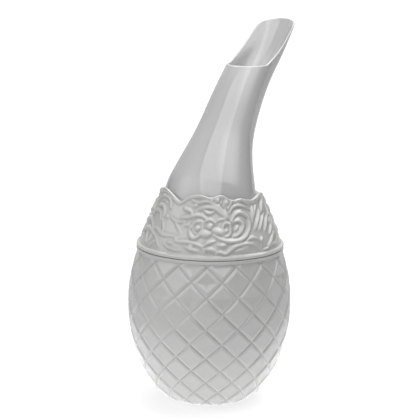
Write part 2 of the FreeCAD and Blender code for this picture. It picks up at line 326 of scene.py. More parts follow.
def quilt():
    """The egg cut by crossing spiral grooves into bevelled, flattened facets.

    Mesh rows and columns follow the pattern, so that every groove runs through vertices.
    Gives the points, how near each lies to a groove's line (the mask for painted shade along the grooves),
    and which way each cell is split.
    """
    columns = 2 * DIAMONDS_ROUND * CELLS_PER_STEP
    clear = 0.2                 # of a cell, left between the last whole row and either end
    skin = smooth_line(EGG_OUTLINE, count=3000)
    half_width = skin[:, 0] * QUILT_STEP
    fall = -np.gradient(skin[:, 1]) / (QUILT_SHAPE * half_width)
    level = np.cumsum(fall)
    level -= np.interp(QUILT_TOP_Z, skin[:, 1], level)
    lowest, highest = level[-1] * CELLS_PER_STEP, level[0] * CELLS_PER_STEP
    whole = np.arange(math.ceil(lowest + clear), highest - clear)
    rows = np.concatenate(([level[0]], whole[::-1] / CELLS_PER_STEP, [level[-1]]))
    r = np.interp(-rows, -level, skin[:, 0])
    z = np.interp(-rows, -level, skin[:, 1])
    lean = np.arctan2(np.gradient(skin[:, 0]), np.gradient(skin[:, 1]))
    lean = np.interp(-rows, -level, lean)[:, None]
    across = np.arange(columns)[None, :] / CELLS_PER_STEP
    angle = math.radians(QUILT_FIRST_DEG) + across * QUILT_STEP
    facet_half = r[:, None] * QUILT_STEP * QUILT_SHAPE / math.hypot(1, QUILT_SHAPE)

    def share_from_line(turns):
        """Distance to the nearest groove, 0 on it and 1 halfway to the next."""
        return 2 * np.abs(turns - np.round(turns))

    rising = share_from_line((across + rows[:, None]) / 2)
    falling = share_from_line((across - rows[:, None]) / 2)
    share = np.minimum(rising, falling)
    size = np.sqrt(facet_half / facet_half.max())
    line = np.clip(1 - share * facet_half / LINE_HALF, 0, 1)
    bevel = np.clip(1 - share / BEVEL_SHARE, 0, 1) ** BEVEL_CURVE
    inside = np.clip((share - BEVEL_SHARE) / (1 - BEVEL_SHARE), 0, 1)
    sink = LINE_DEPTH * line + size * (BEVEL_DEPTH * bevel + FACET_FLATTENING * (1 - (1 - inside) ** 2))
    from_low = np.clip((z - QUILT_LOW_Z) / QUILT_LOW_RUN, 0, 1)
    from_high = np.clip((QUILT_HIGH_Z - z) / QUILT_HIGH_RUN, 0, 1)
    fade = (from_low * from_high)[:, None]
    for degrees, height, reach, filled in GLAZE_POOLS:
        away = (angle - math.radians(FRONT_DEG + degrees) + math.pi) % (2 * math.pi) - math.pi
        gap = np.hypot(away * r[:, None], z[:, None] - height)
        fade = fade * (1 - filled * np.exp(-(gap / reach) ** 2))
    sink = sink * fade
    grid = round_axis(r[:, None] - sink * np.cos(lean), angle, z[:, None] + sink * np.sin(lean))
    # The second value is the painted shade mask: full on each groove's line, less where the grooves fade.
    return grid, line * fade, rising < falling


def make_reservoir():
    """Base, quilted egg, bead, mouth and cavity as one closed skin."""
    quilted, recess, leaning = quilt()
    columns = quilted.shape[1]
    first = math.radians(QUILT_FIRST_DEG)
    below = turned(even_line(BASE_OUTLINE, step=4.0), columns, first)
    bead = bead_line(LOWER_BEAD_Z, first=-75, final=85)
    mouth = even_line(MOUTH_OUTLINE, step=6.0)
    cavity = smooth_line(CAVITY_OUTLINE, count=12)[::-1]
    above = turned(np.vstack([bead, mouth, cavity, CAVITY_FLOOR]), columns, first)
    grid = np.concatenate([below, quilted, above])
    marks = np.concatenate([np.zeros(below.shape[:2]), recess, np.zeros(above.shape[:2])])
    splits = np.concatenate([np.zeros(below.shape[:2], bool), leaning, np.zeros(above.shape[:2], bool)])
    return ring_mesh("reservoir_quilted", grid, marks, close_ends=True, splits=splits)


# The darker second colour is painted shade along the quilt's groove lines.
body_glaze = glazed_material("body_glaze", colour=(0.50, 0.505, 0.495, 1), shade_colour=(0.43, 0.44, 0.42, 1),
                             mottle=0.03, ripple=0.5)
place_piece("reservoir_quilted", make_reservoir(), body_glaze, "reservoir", "glazed_body", "reservoir_shell")

# ---------------------------------------------------------------------------
# Foot: a soft disc of white silicone with round ribs that grip. It is moulded flat
# and bonded into the round recess in the base, so that the glazed rim stands clear.
# ---------------------------------------------------------------------------

FOOT_PROFILE = ((0.6, 0.25), (4.2, 0.25), (4.5, 0.0), (5.3, 0.0), (5.6, 0.25), (7.4, 0.25), (7.7, 0.0),
                (8.5, 0.0), (8.8, 0.25), (10.2, 0.25), (10.5, 0.0), (11.5, 0.0), (11.9, 0.4),
                (12.0, 0.9), (12.0, 2.2), (6.0, 2.2), (0.6, 2.2))


def make_moulded_grain():
    """Fine grain of a moulded or rubber surface, with a slow change of tone."""
    tree, given, result = new_group(
        "moulded_grain",
        (("Base", "colour", (0.7, 0.7, 0.7, 1)), ("Grain Scale", "value", 900.0),
         ("Tone Change", "value", 0.04), ("Rough Low", "value", 0.4), ("Rough High", "value", 0.5)),
        (("Colour", "colour"), ("Roughness", "value"), ("Height", "value")))
    place = add_node(tree, "ShaderNodeTexCoord").outputs["Object"]
    flow = noise_field(tree, place, scale=90.0, detail=3.0)
    grain = add_node(tree, "ShaderNodeTexNoise", {}, {"Detail": 2.0})
    tree.links.new(place, grain.inputs["Vector"])
    tree.links.new(given.outputs["Grain Scale"], grain.inputs["Scale"])
    toned = mottled(tree, given.outputs["Base"], flow, given.outputs["Tone Change"])
    tree.links.new(toned, result.inputs["Colour"])
    rough = add_node(tree, "ShaderNodeMapRange")
    tree.links.new(grain.outputs["Fac"], rough.inputs["Value"])
    tree.links.new(given.outputs["Rough Low"], rough.inputs["To Min"])
    tree.links.new(given.outputs["Rough High"], rough.inputs["To Max"])
    tree.links.new(rough.outputs["Result"], result.inputs["Roughness"])
    height = work_out(tree, "MULTIPLY_ADD", flow, 2.0, grain.outputs["Fac"])
    tree.links.new(height, result.inputs["Height"])
    return tree


moulded_grain = make_moulded_grain()


def moulded_material(name, colour, grain_scale, rough, bump_mm, ior=1.46):
    """A moulded plastic or rubber; rough is the lowest and highest roughness."""
    rough_low, rough_high = rough
    values = {"Base": colour, "Grain Scale": grain_scale, "Rough Low": rough_low, "Rough High": rough_high}
    material, shader, _ = grouped_material(name, moulded_grain, values, bump_mm)
    shader.inputs["IOR"].default_value = ior
    return material


def make_foot():
    """The ribbed disc, turned from its profile."""
    profile = even_line(FOOT_PROFILE, step=0.6)
    return ring_mesh("foot_ribbed", turned(profile, columns=144), close_ends=True)


foot_rubber = moulded_material("foot_silicone", (0.66, 0.66, 0.64, 1), grain_scale=1400.0,
                               rough=(0.62, 0.78), bump_mm=0.02, ior=1.41)
place_piece("foot_ribbed", make_foot(), foot_rubber, "reservoir", "soft_foot", "foot_pad")

# ---------------------------------------------------------------------------
# Neck sleeve: white moulded polypropylene, bonded over the reservoir's mouth. Its
# outside thread is what the collar screws down on. It keeps its plain shape.
# ---------------------------------------------------------------------------


def finish_node(name, material):
    """Gives a part that keeps its plain shape its finish."""
    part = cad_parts[name]
    for held in part.material_slots:
        held.material = material


white_moulding = moulded_material("white_moulding", (0.74, 0.745, 0.73, 1), grain_scale=1100.0,
                                  rough=(0.30, 0.42), bump_mm=0.012)
finish_node("neck_sleeve", white_moulding)

# ---------------------------------------------------------------------------
# Gasket: a flat moulded ring of soft white silicone that sits under the tail's flange.
# The flange presses it on the sleeve's lip when the collar is screwed tight.
# ---------------------------------------------------------------------------

gasket_rubber = moulded_material("gasket_silicone", (0.58, 0.59, 0.58, 1), grain_scale=1600.0,
                                 rough=(0.55, 0.7), bump_mm=0.015, ior=1.41)
finish_node("mouth_gasket", gasket_rubber)

# ---------------------------------------------------------------------------
# Tail: a white moulded bush bonded in the neck. Its flange turns between the gasket
# and the slip washer, and its nose reaches down into the mouth.
# ---------------------------------------------------------------------------

tail_moulding = moulded_material("tail_moulding", (0.70, 0.71, 0.69, 1), grain_scale=1000.0,
                                 rough=(0.26, 0.36), bump_mm=0.01)
finish_node("spout_tail", tail_moulding)

# ---------------------------------------------------------------------------
# Slip washer: a thin, glossy ring turned from acetal, laid loose on the tail's flange.
# It lets the flange turn under the collar's insert without wear.
# ---------------------------------------------------------------------------

washer_acetal = moulded_material("washer_acetal", (0.78, 0.78, 0.76, 1), grain_scale=2200.0,
                                 rough=(0.16, 0.24), bump_mm=0.004, ior=1.48)
finish_node("slip_washer", washer_acetal)

# ---------------------------------------------------------------------------
# Collar insert: a white moulded ring bonded in the collar, with the inside thread and
# the shoulder that holds the neck down.
# ---------------------------------------------------------------------------

insert_moulding = moulded_material("insert_moulding", (0.72, 0.725, 0.71, 1), grain_scale=1100.0,
                                   rough=(0.30, 0.42), bump_mm=0.012)
finish_node("collar_insert", insert_moulding)

# ---------------------------------------------------------------------------
# Collar: a cast and glazed ring of flowers, scrolls and leaves in low relief,
# with a bead below and a scalloped free edge round the neck. The relief comes
# from a two-part mould, so each half turn repeats. Bonded over the insert.
# ---------------------------------------------------------------------------

COLLAR_OUTLINE = ((30.2, 68.4), (29.2, 72.0), (26.8, 77.2),
                  (24.7, 82.0), (22.4, 87.0), (20.5, 92.2))
COLLAR_SOCKET = ((24.2, 80.0), (24.2, 69.5), (27.4, 66.4), (29.9, 66.4))
# The inside above the socket, as (height, radius)
COLLAR_CONE_INSIDE = ((80.0, 23.9), (82.0, 23.3), (84.5, 20.6), (86.0, 19.75), (92.2, 19.5))
UPPER_BEAD_Z = 67.1
COLLAR_COLUMNS, COLLAR_BANDS, CONE_ROWS = 720, 92, 9
# The free edge, as (degrees from the front, height) once round
EDGE_LINE = ((-90, 90.0), (-79, 90.9), (-68, 91.8), (-58, 91.4), (-48, 90.1), (-40, 88.7), (-34.5, 88.3),
             (-28, 89.8), (-21, 91.0), (-13, 91.4), (-6, 90.9), (0, 90.4), (6, 90.9), (14, 91.2),
             (20, 90.0), (27, 89.2), (36, 89.6), (44, 88.8), (52, 88.4), (62, 88.9), (72, 89.5),
             (82, 89.5), (92, 88.5), (103, 87.7), (116, 87.6), (130, 88.6), (141, 89.6), (152, 90.9),
             (164, 91.2), (175, 90.4), (184, 90.8), (195, 91.2), (206, 89.4), (218, 89.4), (232, 88.4),
             (245, 89.0), (258, 89.7), (270, 90.0))
RIM_HEIGHT, RIM_BELOW_EDGE, RIM_HALF_WIDE = 0.62, 0.7, 0.95
LIP_HALF_HIGH, LIP_SQUARENESS = 0.45, 0.8
LIP_TURNS = (0.35, 0.7, 1.0, 1.3, 1.65)      # quarter turns over the lip, from the face to the inside
GROUND_DEPTH = 0.8              # how far the plain ground lies under the collar's envelope
GROUND_LOW_Z, GROUND_RUN = 67.88, 0.3        # the ground starts here, and is full this much higher
SOFTENING = 3                   # passes that round the whole relief off, as the glaze does
# Painted shade beside the collar's relief: the passes ease the relief, and the shade is full where a place
# lies this far under its eased surroundings.
HOLLOW_PASSES, HOLLOW_FULL = 9, 0.28         # a hollow is full when this far under its surroundings
STEM_WIDEST = 0.4               # share of a stem's length where it is widest
STEM_SPREAD, BUD_SPREAD = 1.25, 1.2          # how far the foot of the relief spreads
THIN_STEM_HEIGHT = 0.45         # height that is left where a stem thins to nothing, as a share
BERRY_RING_HEIGHT, BERRY_RING_HALF, BERRY_GROUND = 0.55, 0.4, 0.1

# Each stem: half width, height, width at its start and end as shares, then points along
# it as (degrees from the front, height above the table).
STEMS = (
    # flower spray that sweeps up and back from the big scroll
    (0.75, 1.0, 0.5, 0.9, (-21, 90.2), (-13, 90.8), (-4, 90.4), (4, 88.6), (10, 86.0), (16, 82.8)),
    (0.60, 0.9, 0.6, 0.5, (-20, 88.9), (-13, 88.4), (-6, 88.9), (1, 88.2), (7, 86.2), (13, 83.8)),
    (0.65, 1.0, 0.5, 0.5, (-12, 85.7), (-4, 86.7), (3, 86.4), (9, 84.8), (15, 82.2)),
    (0.60, 1.0, 0.9, 0.4, (-28, 85.9), (-24, 85.3), (-20.5, 84.9), (-18, 83.4)),
    (0.55, 1.0, 0.4, 0.4, (-7, 85.5), (-2, 84.5), (4, 84.8)),
    (0.60, 0.9, 0.3, 0.7, (-31, 82.2), (-21, 82.7), (-12, 83.6), (-6, 82.9), (-2, 81.6)),
    (0.45, 0.8, 0.6, 0.4, (15.0, 85.8), (16.5, 83.8), (18.5, 81.8)),
    # hoods over the two bosses
    (0.50, 0.9, 0.5, 0.5, (-17, 79.6), (-14, 81.0), (-10, 81.4), (-6.4, 80.3), (-5.6, 78.8)),
    (0.45, 0.9, 0.5, 0.5, (-5.0, 81.2), (-1.5, 82.0), (2.5, 81.5), (5.5, 80.2)),
    (0.75, 1.1, 0.5, 0.6, (-19, 77.8), (-17, 75.9), (-13.6, 75.0), (-10.2, 75.7)),
    # big scroll
    (0.75, 1.1, 0.4, 0.7, (3.2, 76.2), (9, 74.7), (16, 73.9), (24, 73.9), (31, 75.1), (36, 77.2),
     (39, 79.6), (39.3, 81.6), (36.6, 83.2), (32, 84.3), (27, 84.1), (22.5, 82.6), (20.5, 81.2)),
    (0.80, 1.1, 0.4, 0.5, (20.2, 75.4), (25, 76.2), (29.4, 77.9), (31.6, 79.6), (29.8, 80.9),
     (25, 81.3), (21.5, 80.7)),
    (0.45, 0.9, 0.5, 0.6, (11.0, 75.6), (15.5, 75.8), (18.6, 77.5), (18.7, 79.5), (16.0, 80.7),
     (12.8, 80.2), (11.6, 78.7), (13.4, 77.5), (15.4, 78.0)),
    (0.45, 0.8, 0.4, 0.4, (6, 81.4), (11, 82.1), (16.5, 81.6)),
    (0.55, 1.0, 0.5, 0.3, (19.5, 84.4), (23, 86.2), (28, 87.0), (34, 86.8), (40, 85.9), (45.5, 84.6)),
    (0.60, 1.0, 0.7, 0.3, (18.5, 86.0), (22, 88.0), (27, 89.4), (33, 89.3), (39, 88.2), (44.5, 86.8)),
    (0.45, 0.8, 0.3, 0.5, (31, 73.0), (37, 74.4), (43, 73.8), (47, 71.6), (46, 69.9)),
    # reeds at the side of the scroll
    (0.45, 0.8, 0.5, 0.3, (43.5, 82.0), (47, 84.2), (50.5, 86.0)),
    (0.55, 0.9, 0.4, 0.4, (41.5, 79.0), (45, 81.6), (50, 84.0), (56, 86.0)),
    (0.60, 1.0, 0.4, 0.4, (43.5, 76.8), (48, 79.3), (53, 81.4), (59, 84.0)),
    (0.60, 1.0, 0.5, 0.3, (49.5, 76.6), (54, 78.9), (60, 81.0), (66, 82.0)),
    (0.55, 1.0, 0.3, 0.5, (60, 82.6), (65.5, 85.0), (72, 86.8), (79, 87.4)),
    (0.55, 1.0, 0.3, 0.5, (56, 75.6), (61, 78.1), (67, 80.2), (75, 81.2)),
    (0.60, 1.0, 0.4, 0.4, (70, 78.0), (76, 81.2), (80, 84.6)),
    (0.60, 1.0, 0.5, 0.3, (62, 74.2), (69, 76.4), (77, 78.0), (85, 78.6)),
    (0.50, 0.9, 0.5, 0.3, (54, 70.2), (60, 71.6), (66, 73.6), (73, 74.4)),
    # garland along the foot
    (0.55, 0.9, 0.3, 0.6, (-31, 73.1), (-23, 73.2), (-15, 73.1), (-9, 72.3), (-5, 70.7), (-4.4, 69.6)),
    (0.60, 1.0, 0.3, 0.5, (-6.4, 71.8), (-1.5, 73.3), (4.2, 73.9)),
    (0.60, 1.0, 0.6, 0.4, (-20.5, 71.5), (-15, 70.6), (-10, 70.0)),
    (0.65, 1.0, 0.5, 0.5, (-3.6, 70.9), (0.5, 70.9), (4.8, 70.0)),
    (0.60, 1.0, 0.5, 0.3, (5.0, 69.2), (8.5, 69.7), (11, 69.1), (15, 69.8), (18, 71.0), (22, 71.9),
     (28, 72.4), (34, 72.3), (40, 71.3), (43.5, 69.9)),
    (0.45, 0.6, 0.4, 0.3, (20, 69.8), (27, 70.2), (34, 69.8)),
    (0.50, 0.8, 0.3, 0.3, (46, 68.9), (53, 69.2), (60, 70.2), (67, 70.0), (74, 71.6), (82, 72.0)),
    # curl, double scroll and shell at the other side
    (0.60, 1.0, 0.4, 0.7, (-76, 86.4), (-69, 88.2), (-61, 89.0), (-53, 88.6), (-47.5, 87.2), (-45, 85.0)),
    (0.50, 0.8, 0.3, 0.6, (-67, 86.4), (-60, 87.4), (-54, 86.8)),
    (0.75, 1.1, 0.4, 0.6, (-69, 84.6), (-61, 85.5), (-54.5, 84.6), (-51.6, 82.2), (-52.2, 80.2)),
    (0.60, 0.9, 0.4, 0.6, (-72, 82.4), (-63, 83.3), (-57.6, 82.2), (-55.4, 79.8)),
    (0.65, 0.7, 0.4, 0.5, (-51.5, 80.4), (-48.5, 78.6), (-46.5, 76.8), (-45.6, 75.2)),
    (0.55, 0.6, 0.3, 0.5, (-36, 80.6), (-32, 79.0), (-28.5, 77.2), (-26.0, 76.2)),
    (0.50, 0.7, 0.3, 0.5, (-43, 82.0), (-37, 80.9), (-31, 80.4), (-25, 80.6)),
    (0.65, 0.7, 0.4, 0.4, (-62, 76.0), (-55, 76.3), (-49, 75.4), (-41, 74.7), (-34, 74.9), (-28, 74.6)),
    (0.50, 0.7, 0.5, 0.3, (-32, 74.4), (-29.0, 73.4), (-26.4, 72.4)),
    (0.60, 0.9, 0.5, 0.5, (-84, 72.4), (-76, 74.6), (-67, 75.6), (-58, 74.6), (-50, 72.4), (-46.5, 70.0)),
    (0.45, 0.8, 0.3, 0.9, (-64, 69.6), (-71, 71.2), (-76, 72.6)),
    (0.45, 0.8, 0.3, 0.9, (-63, 69.6), (-66.5, 72.2), (-68, 74.0)),
    (0.45, 0.8, 0.3, 0.9, (-61, 69.6), (-60, 72.0), (-59.5, 73.4)),
    (0.45, 0.8, 0.3, 0.9, (-59, 69.4), (-54.5, 70.8), (-52, 71.6)),
    (0.60, 1.0, 0.4, 0.5, (-88, 76.6), (-81, 78.6), (-74, 79.2), (-67, 78.0), (-63, 76.8)),
    (0.60, 1.0, 0.4, 0.5, (-90, 80.6), (-83, 82.6), (-76, 82.8), (-72, 81.0)),
    (0.55, 0.9, 0.4, 0.5, (-91, 84.6), (-85, 86.0), (-79, 85.6), (-76, 83.8)),
    (0.45, 0.8, 0.3, 0.3, (-42, 71.6), (-36, 70.4), (-29, 69.8), (-23, 69.6)),
)

# Each bud: degrees from the front, height, half length, half width, tilt in degrees, relief.
BUDS = (
    (-11.6, 78.6, 1.15, 1.0, 0, 1.25), (-0.5, 79.5, 1.25, 1.05, 10, 1.2),
    (-4.6, 76.7, 2.3, 1.25, -6, 1.15), (7.6, 77.4, 2.5, 1.1, -16, 1.05),
    (-17.6, 78.9, 0.9, 0.8, 60, 0.8), (-22.4, 79.6, 1.2, 0.7, 20, 0.6),
    (7.6, 89.3, 0.95, 0.95, 0, 1.15), (16.8, 88.3, 1.05, 1.05, 0, 1.15),
    (-16.0, 87.0, 1.2, 0.6, 10, 0.7), (9.8, 72.4, 1.7, 0.65, 0, 1.0),
    (-15.6, 71.9, 1.2, 0.45, -8, 0.8), (-46.5, 81.8, 1.0, 0.6, -50, 0.7),
    (-35.0, 72.2, 1.3, 0.6, 0, 0.6), (48.5, 73.2, 1.2, 0.6, 30, 0.8),
    (30.0, 71.0, 1.8, 0.45, 2, 0.6), (66.0, 84.0, 1.0, 0.5, 30, 0.8),
    (24.6, 78.4, 1.3, 0.7, 40, 0.7), (-81.0, 88.2, 1.2, 0.6, 0, 0.8),
)
BERRY_RINGS = ((7.6, 89.3, 1.7), (16.8, 88.3, 1.8), (-11.6, 78.6, 2.0))


def degrees_apart(a, b):
    """Signed angle from b to a, where the relief repeats every half turn."""
    return (a - b + 90.0) % 180.0 - 90.0


def edge_height(degrees):
    """Height of the scalloped free edge."""
    line = smooth_line(EDGE_LINE, count=1200)
    return np.interp((degrees - FRONT_DEG + 90.0) % 360.0 - 90.0, line[:, 0], line[:, 1])


def stem_relief(degrees, z, r, stem):
    """Rounded ridge along one stem, tapered to its ends."""
    half_width, height, start_share, end_share = stem[:4]
    points = stem[4:]
    line = smooth_line(points, count=9 * len(points))
    along = np.linspace(0, 1, len(line))
    growing = np.sin(along / STEM_WIDEST * math.pi / 2)
    thinning = np.sin((1 - along) / (1 - STEM_WIDEST) * math.pi / 2)
    share = np.where(along < STEM_WIDEST, start_share + (1 - start_share) * growing,
                     end_share + (1 - end_share) * thinning)
    relief = np.zeros(z.shape)
    x = np.radians(degrees_apart(degrees, FRONT_DEG + line[:, 0].mean())) * r
    px = np.radians(line[:, 0] - line[:, 0].mean())
    near_x = np.abs(x) < (np.abs(px).max() * r + 2 * half_width)
    near_z = (z > line[:, 1].min() - 2 * half_width) & (z < line[:, 1].max() + 2 * half_width)
    spot = near_x & near_z
    xs, zs, rs = x[spot], z[spot], r[spot]
    best = np.zeros(xs.shape)
    for k in range(len(line) - 1):
        ax, az = px[k] * rs, line[k, 1]
        bx, bz = px[k + 1] * rs, line[k + 1, 1]
        run = (bx - ax) ** 2 + (bz - az) ** 2 + 1e-9
        t = np.clip(((xs - ax) * (bx - ax) + (zs - az) * (bz - az)) / run, 0, 1)
        gap = np.hypot(xs - ax - t * (bx - ax), zs - az - t * (bz - az))
        width = half_width * (share[k] + t * (share[k + 1] - share[k]))
        tall = height * (THIN_STEM_HEIGHT + (1 - THIN_STEM_HEIGHT) * width / half_width)
        rounded = np.sqrt(np.clip(1 - (gap / (STEM_SPREAD * width)) ** 2, 0, 1))
        best = np.maximum(best, tall * rounded)
    relief[spot] = best
    return relief


def collar_relief(degrees, z, r):
    """Height of the ornament over its ground."""
    total = np.zeros(z.shape)
    for stem in STEMS:
        total = np.maximum(total, stem_relief(degrees, z, r, stem))
    for centre, low, ring_r in BERRY_RINGS:
        gap = np.hypot(np.radians(degrees_apart(degrees, FRONT_DEG + centre)) * r, z - low)
        total = np.where(gap < ring_r, np.minimum(total, BERRY_GROUND), total)
        ring = np.clip(1 - ((gap - ring_r) / BERRY_RING_HALF) ** 2, 0, 1)
        total = np.maximum(total, BERRY_RING_HEIGHT * ring)
    for centre, low, long_r, short_r, tilt, height in BUDS:
        x = np.radians(degrees_apart(degrees, FRONT_DEG + centre)) * r
        y = z - low
        lean = math.radians(tilt)
        u = (x * math.cos(lean) + y * math.sin(lean)) / (BUD_SPREAD * long_r)
        v = (y * math.cos(lean) - x * math.sin(lean)) / (BUD_SPREAD * short_r)
        total = np.maximum(total, height * np.sqrt(np.clip(1 - u * u - v * v, 0, 1)))
    return total


def soften(field, passes):
    """Evens a field out over its neighbours, as glaze does."""
    for _ in range(passes):
        field = (2 * field + np.roll(field, 1, 1) + np.roll(field, -1, 1)) / 4
        inner = (2 * field[1:-1] + field[:-2] + field[2:]) / 4
        field = np.vstack([field[:1], inner, field[-1:]])
    return field


def make_collar():
    """Bead, embossed face, rolled lip, cone and socket as one closed skin."""
    degrees = np.arange(COLLAR_COLUMNS) * 360 / COLLAR_COLUMNS
    angle = np.radians(degrees)
    outline = smooth_line(COLLAR_OUTLINE, count=400)
    top = edge_height(degrees)
    share = np.linspace(0, 1, COLLAR_BANDS)[:, None]
    z = GROUND_LOW_Z + share * (top[None, :] - LIP_HALF_HIGH - GROUND_LOW_Z)
    r = np.interp(z, outline[:, 1], outline[:, 0])
    relief = collar_relief(np.broadcast_to(degrees, z.shape), z, r)
    from_rim = (top[None, :] - z - RIM_BELOW_EDGE) / RIM_HALF_WIDE
    rim = RIM_HEIGHT * np.sqrt(np.clip(1 - from_rim ** 2, 0, 1))
    relief = soften(np.maximum(relief, rim), SOFTENING)
    settle = np.clip((z - GROUND_LOW_Z) / GROUND_RUN, 0, 1)
    face = round_axis(r - GROUND_DEPTH * settle + relief * settle, angle, z)
    bead = turned(bead_line(UPPER_BEAD_Z, first=-85, final=80), COLLAR_COLUMNS)
    cone_z, cone_r = np.array(COLLAR_CONE_INSIDE).T
    edge_r = r[-1] - GROUND_DEPTH + relief[-1]
    inner_r = np.interp(z[-1], cone_z, cone_r)
    lip = []
    for turn in LIP_TURNS:
        out = math.cos(turn * math.pi / 2)
        squared = math.copysign(abs(out) ** LIP_SQUARENESS, out)
        lip_r = (edge_r + inner_r) / 2 + (edge_r - inner_r) / 2 * squared
        lip.append(round_axis(lip_r, angle, z[-1] + LIP_HALF_HIGH * math.sin(turn * math.pi / 2)))
    share_in = np.linspace(1, 0, CONE_ROWS)[:, None]
    cone_high = cone_z[0] + share_in * (z[-1][None, :] - cone_z[0])
    cone = round_axis(np.interp(cone_high, cone_z, cone_r), angle, cone_high)
    socket = turned(even_line(COLLAR_SOCKET, step=3.0), COLLAR_COLUMNS)
    grid = np.concatenate([bead, face, np.array(lip), cone, socket])
    # Painted shade: darker where the relief stands higher round a place, beside the raised strokes.
    shade_mask = np.clip((soften(relief, HOLLOW_PASSES) - relief) / HOLLOW_FULL, 0, 1) * settle
    marks = np.zeros(grid.shape[:2])
    marks[len(bead):len(bead) + COLLAR_BANDS] = shade_mask
    return ring_mesh("collar_embossed", grid, marks, join_ends=True)


# The darker second colour is painted shade beside the relief's strokes.
collar_glaze = glazed_material("collar_glaze", colour=(0.52, 0.525, 0.51, 1), shade_colour=(0.34, 0.35, 0.33, 1),
                               mottle=0.03, ripple=0.5)
place_piece("collar_embossed", make_collar(), collar_glaze, "collar", "glazed_collar", "collar_shell")

# ---------------------------------------------------------------------------
# Snap ring: a split, glossy acetal ring, sprung into the groove at the neck's root.
# It rests over the insert, so that the neck lifts off with the collar.
# ---------------------------------------------------------------------------

snap_acetal = moulded_material("snap_acetal", (0.76, 0.76, 0.74, 1), grain_scale=2000.0,
                               rough=(0.18, 0.26), bump_mm=0.004, ior=1.48)
finish_node("retaining_ring", snap_acetal)

# ---------------------------------------------------------------------------
# Neck and scoop: one smooth glazed casting. It rises from the collar, bends over
# to one side, and is cut away into an open scoop with a level lip below it. Its
# walls thin towards the tip, and every edge is rolled over by the glaze.
# ---------------------------------------------------------------------------

BEND_START_Z = 84.0
BEND_ARCS = ((20.0, 21.0), (125.0, 28.9), (-70.6, 22.0))      # radius, turn in degrees
# (length along the bend, outside radius)
NECK_TAPER = ((-6.4, 19.4), (0.0, 19.4), (3.6, 19.42), (6.0, 18.82), (9.0, 17.9), (12.0, 16.95),
              (20.0, 14.5), (28.0, 12.5), (41.0, 11.0), (61.0, 9.9), (81.0, 9.7), (97.2, 10.5))
WALL_ROOT, WALL_TIP = 2.4, 1.7
ROOT_R = NECK_TAPER[0][1]
ROOT_LOW_Z, ROOT_HIGH_Z = 77.6, 82.8
BORE_R, BORE_HIGH_Z = ROOT_R - WALL_ROOT, 82.0
ROOT_CHAMFER, BORE_CHAMFER = 0.5, 0.4
RING_GROOVE = (80.3, 81.5, 0.7)                                # low, high, depth
LIP_CORNER, SCOOP_MID, SCOOP_END = (30.0, 139.5), (44.1, 146.8), (62.0, 162.0)
TIP_LENGTH, TIP_HALF_WIDTH, TIP_SAG = 96.0, 7.8, 3.4
TIP_SIDE_SLOPE = 0.446                                         # of the cut, past the tip's round end
EDGE_THINNING, THINNING_FROM = 0.5, 0.86                       # share of the wall, from this share up
ROLL_SET_BACK, ROLL_REACH = 0.18, 0.24                         # of the rolled edge, as shares of the wall
LIP_COLUMNS, SCOOP_COLUMNS, TIP_COLUMNS = 34, 84, 26           # on each side of the neck
OUTER_ROWS, INNER_ROWS, ROLL_ROWS = 150, 90, 9
EASE_PASSES, TIP_EASE_PASSES = 4, 110
# The tip's extra passes ease the cut's corners beside the tip: the nearest and farthest
# columns that they reach, counted from the tip, and the columns over which they fade.
TIP_EASE_NEAR, TIP_EASE_NEAR_FADE = 6, 8
TIP_EASE_FAR, TIP_EASE_FAR_FADE = TIP_COLUMNS + 26, 16


def neck_axis(length):
    """Place and lean of the neck's bent axis at lengths from the start of the bend."""
    length = np.asarray(length, float)
    x = np.zeros(length.shape)
    z = BEND_START_Z + np.minimum(length, 0)
    lean = np.zeros(length.shape)
    left = np.maximum(length, 0)
    for radius, degrees in BEND_ARCS:
        step = np.minimum(left, abs(radius) * math.radians(degrees))
        new_lean = lean + step / radius
        x = x + radius * (np.cos(lean) - np.cos(new_lean))
        z = z + radius * (np.sin(new_lean) - np.sin(lean))
        lean = new_lean
        left = left - step
    return x, z, lean


def neck_radius(length, inner):
    """Radius of the neck's outer or inner wall at lengths along the bend."""
    taper = smooth_line(NECK_TAPER, count=600)
    radius = np.interp(length, taper[:, 0], taper[:, 1])
    if inner:
        share = np.clip(np.asarray(length) / NECK_TAPER[-1][0], 0, 1)
        radius = radius - (WALL_ROOT + (WALL_TIP - WALL_ROOT) * share)
    return radius


def neck_point(angle, length, inner):
    """A point on the neck's wall; angle 0 is under the bend and pi is on top of it."""
    x, z, lean = neck_axis(length)
    radius = neck_radius(length, inner)
    down = radius * np.cos(angle)
    return np.stack([x + down * np.cos(lean), radius * np.sin(angle), z - down * np.sin(lean)], axis=-1)


def scoop_profile():
    """The cut seen from the side: a level line up to the corner, then a shallow arc."""
    (ax, az), (bx, bz), (cx, cz) = LIP_CORNER, SCOOP_MID, SCOOP_END
    four_areas = 2 * (ax * (bz - cz) + bx * (cz - az) + cx * (az - bz))
    a, b, c = (x * x + z * z for x, z in (LIP_CORNER, SCOOP_MID, SCOOP_END))
    hub_x = (a * (bz - cz) + b * (cz - az) + c * (az - bz)) / four_areas
    hub_z = (a * (cx - bx) + b * (ax - cx) + c * (bx - ax)) / four_areas
    radius = math.hypot(ax - hub_x, az - hub_z)
    first, final = math.atan2(az - hub_z, ax - hub_x), math.atan2(cz - hub_z, cx - hub_x)
    turn = np.linspace(first, final, 900)[1:]
    arc = np.stack([hub_x + radius * np.cos(turn), hub_z + radius * np.sin(turn)], axis=1)
    level_x = np.linspace(0.0, ax, 700)
    return np.vstack([np.stack([level_x, az + 0 * level_x], axis=1), arc]), len(level_x) - 1


def spaced(path, count):
    """A path's rows taken again at even steps, ends kept. Its columns from the third are the place."""
    gaps = np.linalg.norm(np.diff(path[:, 2:], axis=0), axis=1)
    along = np.concatenate(([0.0], np.cumsum(gaps)))
    even = np.linspace(0, along[-1], count + 1)
    return np.stack([np.interp(even, along, path[:, i]) for i in range(path.shape[1])], axis=1)


